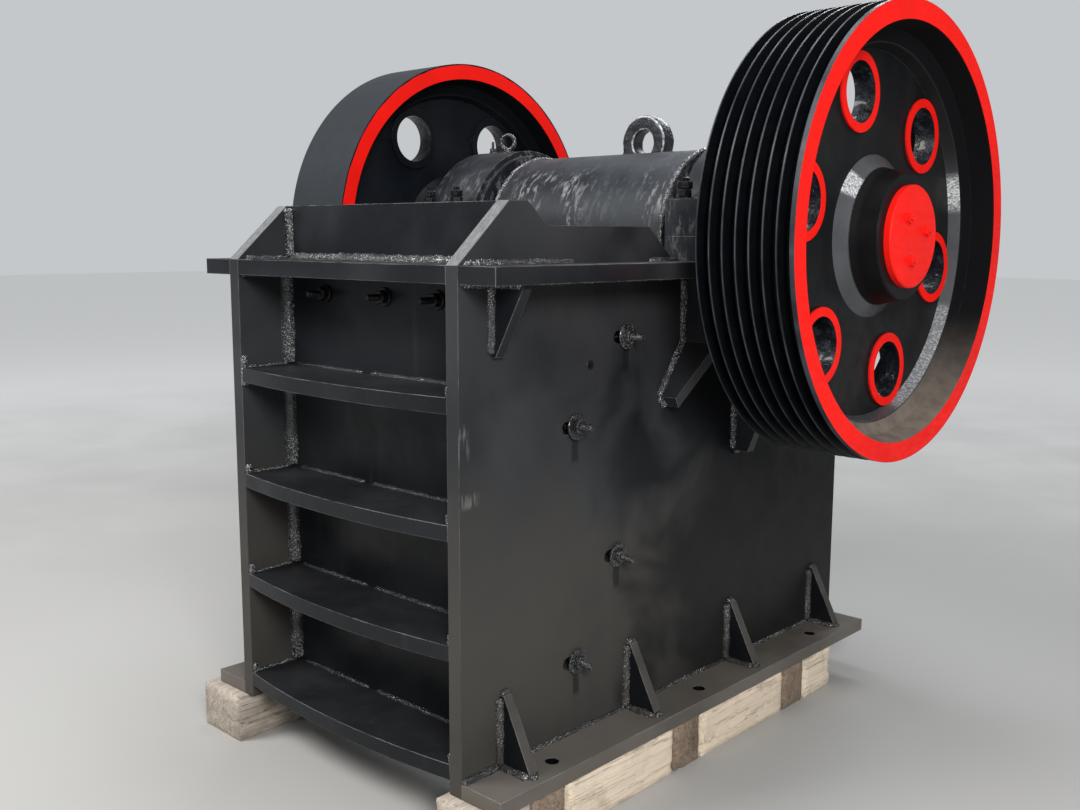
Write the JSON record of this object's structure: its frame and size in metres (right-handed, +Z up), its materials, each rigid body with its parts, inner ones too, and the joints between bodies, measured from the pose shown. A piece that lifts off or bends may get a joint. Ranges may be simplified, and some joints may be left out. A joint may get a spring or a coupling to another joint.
{
  "type": "jaw crusher",
  "caption": "Single-toggle jaw crusher: welded plate frame, grooved drive wheel, plain flywheel, eccentric shaft, swing jaw, toothed jaw plates, toggle; on timbers.",
  "frame": {"origin": "centre of the whole machine's footprint box, on the floor under the timbers", "axes": "+Z up; +X along the shaft towards the grooved drive wheel; +Y from the feed end to the rear end with the toggle and the tension rod"},
  "size_m": [1.95, 1.966, 2.0578],
  "materials": {
    "frame_paint": "satin near-black paint, scuffed and dusty",
    "cast_paint": "near-black paint over rough casting",
    "wheel_paint": "satin near-black paint with red rim faces and red rings round the web holes",
    "red_paint": "gloss red paint",
    "jaw_steel": "bare manganese steel casting",
    "bare_steel": "machined steel, oiled",
    "shaft_steel": "turned steel",
    "spring_steel": "black spring steel",
    "timber": "weathered grey-beige sleepers"
  },
  "bodies": {
    "frame": {"side_plate_left": "frame_paint", "side_plate_right": "frame_paint", "front_wall": "frame_paint", "feed_lip": "frame_paint", "front_rib_1": "frame_paint", "front_rib_2": "frame_paint", "front_rib_3": "frame_paint", "front_rib_bottom": "frame_paint", "top_flange_front": "frame_paint", "top_flange_left": "frame_paint", "top_flange_right": "frame_paint", "base_flange_left": "frame_paint", "base_flange_right": "frame_paint", "base_gussets_left": "frame_paint", "base_gussets_right": "frame_paint", "support_ribs_left": "frame_paint", "support_ribs_right": "frame_paint", "rear_wall": "frame_paint", "rear_ribs": "frame_paint", "jaw_support_bar": "frame_paint", "block_rails": "frame_paint", "bearing_housing_left": "cast_paint", "bearing_housing_right": "cast_paint", "bearing_cap_left": "cast_paint", "bearing_cap_right": "cast_paint", "adjusting_block": "cast_paint", "fixed_jaw_plate": "jaw_steel", "cheek_plates_left": "jaw_steel", "cheek_plates_right": "jaw_steel", "shim_pack": "bare_steel", "rear_toggle_seat": "bare_steel", "toggle_plate": "bare_steel", "tension_rod": "bare_steel", "tension_spring": "spring_steel", "timbers_left": "timber", "timbers_right": "timber"},
    "rotor": {"eccentric_shaft": "shaft_steel", "drive_wheel": "wheel_paint", "flywheel": "wheel_paint", "end_cover_right": "red_paint", "end_cover_left": "red_paint"},
    "swing_jaw_body": {"swing_jaw": "cast_paint", "moving_jaw_plate": "jaw_steel", "jaw_wedge": "bare_steel", "front_toggle_seat": "bare_steel"}
  },
  "joints": [
    {"name": "shaft_spin", "type": "hinge", "parent": "frame", "child": "rotor", "pos_m": [0, 0.214, 1.458], "axis": [1, 0, 0], "continuous": true},
    {"name": "swing_jaw_pivot", "type": "hinge", "parent": "rotor", "child": "swing_jaw_body", "pos_m": [0, 0.214, 1.446], "axis": [1, 0, 0], "continuous": true}
  ],
  "couplings": [
    {"joint": "swing_jaw_pivot", "follows": "shaft_spin", "ratio": -1}
  ]
}
